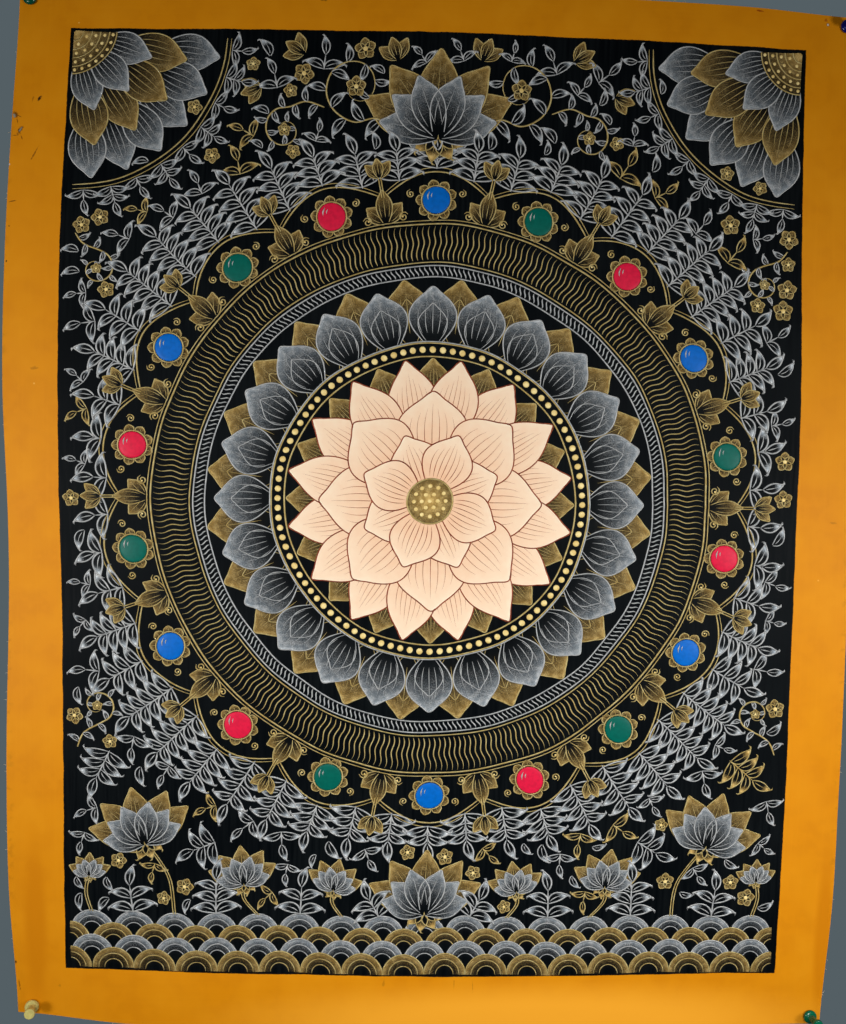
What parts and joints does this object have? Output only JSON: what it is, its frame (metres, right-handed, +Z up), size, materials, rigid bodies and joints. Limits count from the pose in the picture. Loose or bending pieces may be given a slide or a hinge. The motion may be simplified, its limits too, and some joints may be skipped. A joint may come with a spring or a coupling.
{
  "type": "thangka painting canvas with push pins",
  "caption": "Unmounted painted thangka canvas with a plain ochre border round a dark picture, slightly bowed, held to a wall near its corners by plastic push pins.",
  "frame": {"origin": "middle of the canvas's top edge, on the wall plane", "axes": "+Z up, +Y into the wall, so the painted face looks towards -Y, and +X to the right as seen from the front"},
  "size_m": [0.6095, 0.0249, 0.7463],
  "materials": {
    "canvas": "painted cotton",
    "green_plastic": "moulded",
    "blue_plastic": "moulded",
    "ivory_plastic": "moulded",
    "needle_steel": "drawn"
  },
  "bodies": {
    "root": {"painted_canvas": "canvas", "pin_head_top_left": "green_plastic", "pin_head_top_right": "blue_plastic", "pin_head_bottom_left": "ivory_plastic", "pin_head_bottom_right": "green_plastic", "pin_needle_top_left": "needle_steel", "pin_needle_top_right": "needle_steel", "pin_needle_bottom_left": "needle_steel", "pin_needle_bottom_right": "needle_steel"}
  },
  "joints": []
}
